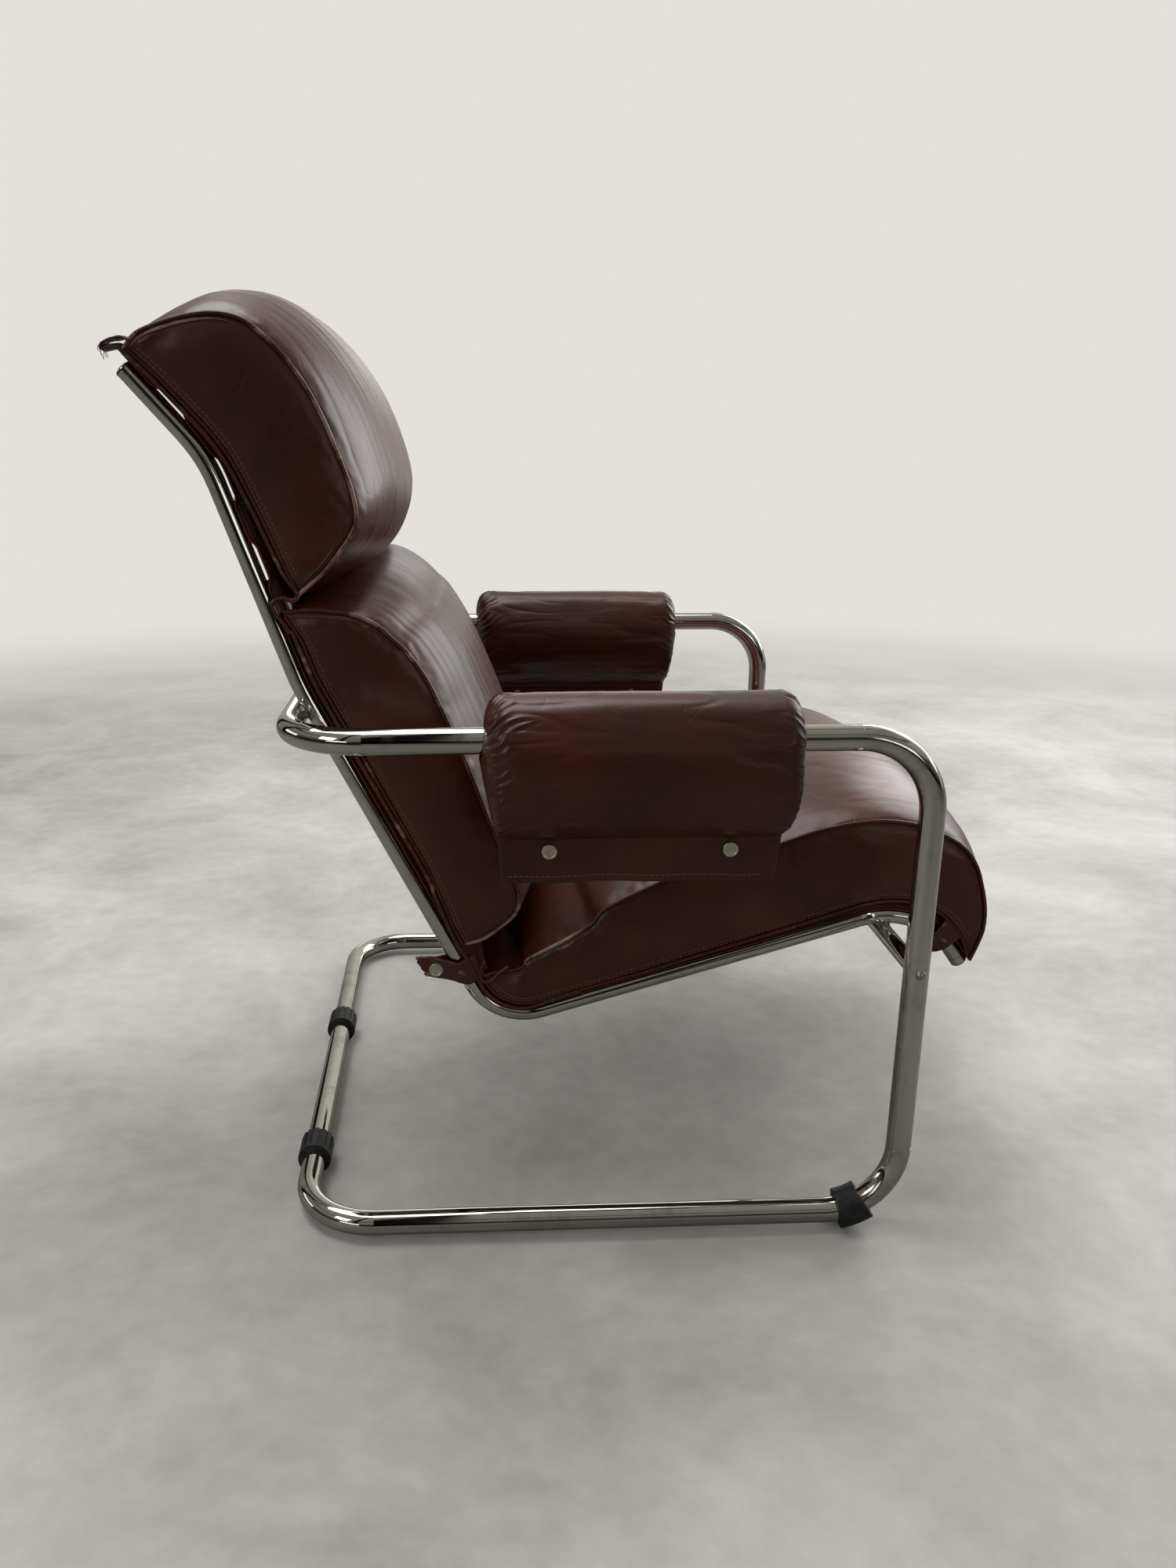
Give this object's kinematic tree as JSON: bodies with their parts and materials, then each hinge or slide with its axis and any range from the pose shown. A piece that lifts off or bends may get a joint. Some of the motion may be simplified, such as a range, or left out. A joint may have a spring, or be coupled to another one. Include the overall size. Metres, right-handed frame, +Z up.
{
  "type": "cantilever lounge chair",
  "caption": "Cantilever lounge chair with a bent chromed tube loop, bent side rails on webbing, leather seat, back and head cushions and padded leather arm rests.",
  "frame": {"origin": "On the floor, under the middle of the chair's outline as seen from above.", "axes": "+X to the front, +Y to the sitter's left, +Z up."},
  "size_m": [0.9025, 0.802, 0.9315],
  "materials": {
    "chrome": "polished chrome plating on steel tube, with fine scuffs",
    "steel": "plain steel inside the tubes and on the rivets",
    "black_paint": "satin black enamel on the webbing clips",
    "webbing": "black woven webbing",
    "rubber": "black moulded rubber",
    "leather": "glossy dark oxblood brown leather with soft creases",
    "stud_metal": "pale plated press stud"
  },
  "bodies": {
    "root": {"frame_tube_right": "chrome", "frame_tube_left": "chrome", "floor_bar_spigot": "steel", "crossbar_spigot": "steel", "side_rail_right": "chrome", "side_rail_left": "chrome", "rail_plug_top_right": "chrome", "rail_plug_top_left": "chrome", "rail_plug_nose_right": "chrome", "rail_plug_nose_left": "chrome", "front_crossbar": "chrome", "crossbar_inserts": "steel", "upright_bolts": "chrome", "weld_fillets": "chrome", "webbing_clips_right": "black_paint", "webbing_clips_left": "black_paint", "back_webbing": "webbing", "seat_webbing": "webbing", "webbing_rivets": "steel", "floor_ring_right": "rubber", "floor_ring_left": "rubber", "front_ring_right": "rubber", "front_ring_left": "rubber", "leather_hide": "leather", "head_cushion": "leather", "back_cushion": "leather", "seat_cushion": "leather", "crevice_strap_right": "leather", "crevice_strap_left": "leather", "nose_strap_right": "leather", "nose_strap_left": "leather", "strap_studs": "stud_metal", "head_tabs": "leather", "arm_pad_right": "leather", "arm_pad_left": "leather", "pad_studs_right": "stud_metal", "pad_studs_left": "stud_metal"}
  },
  "joints": []
}
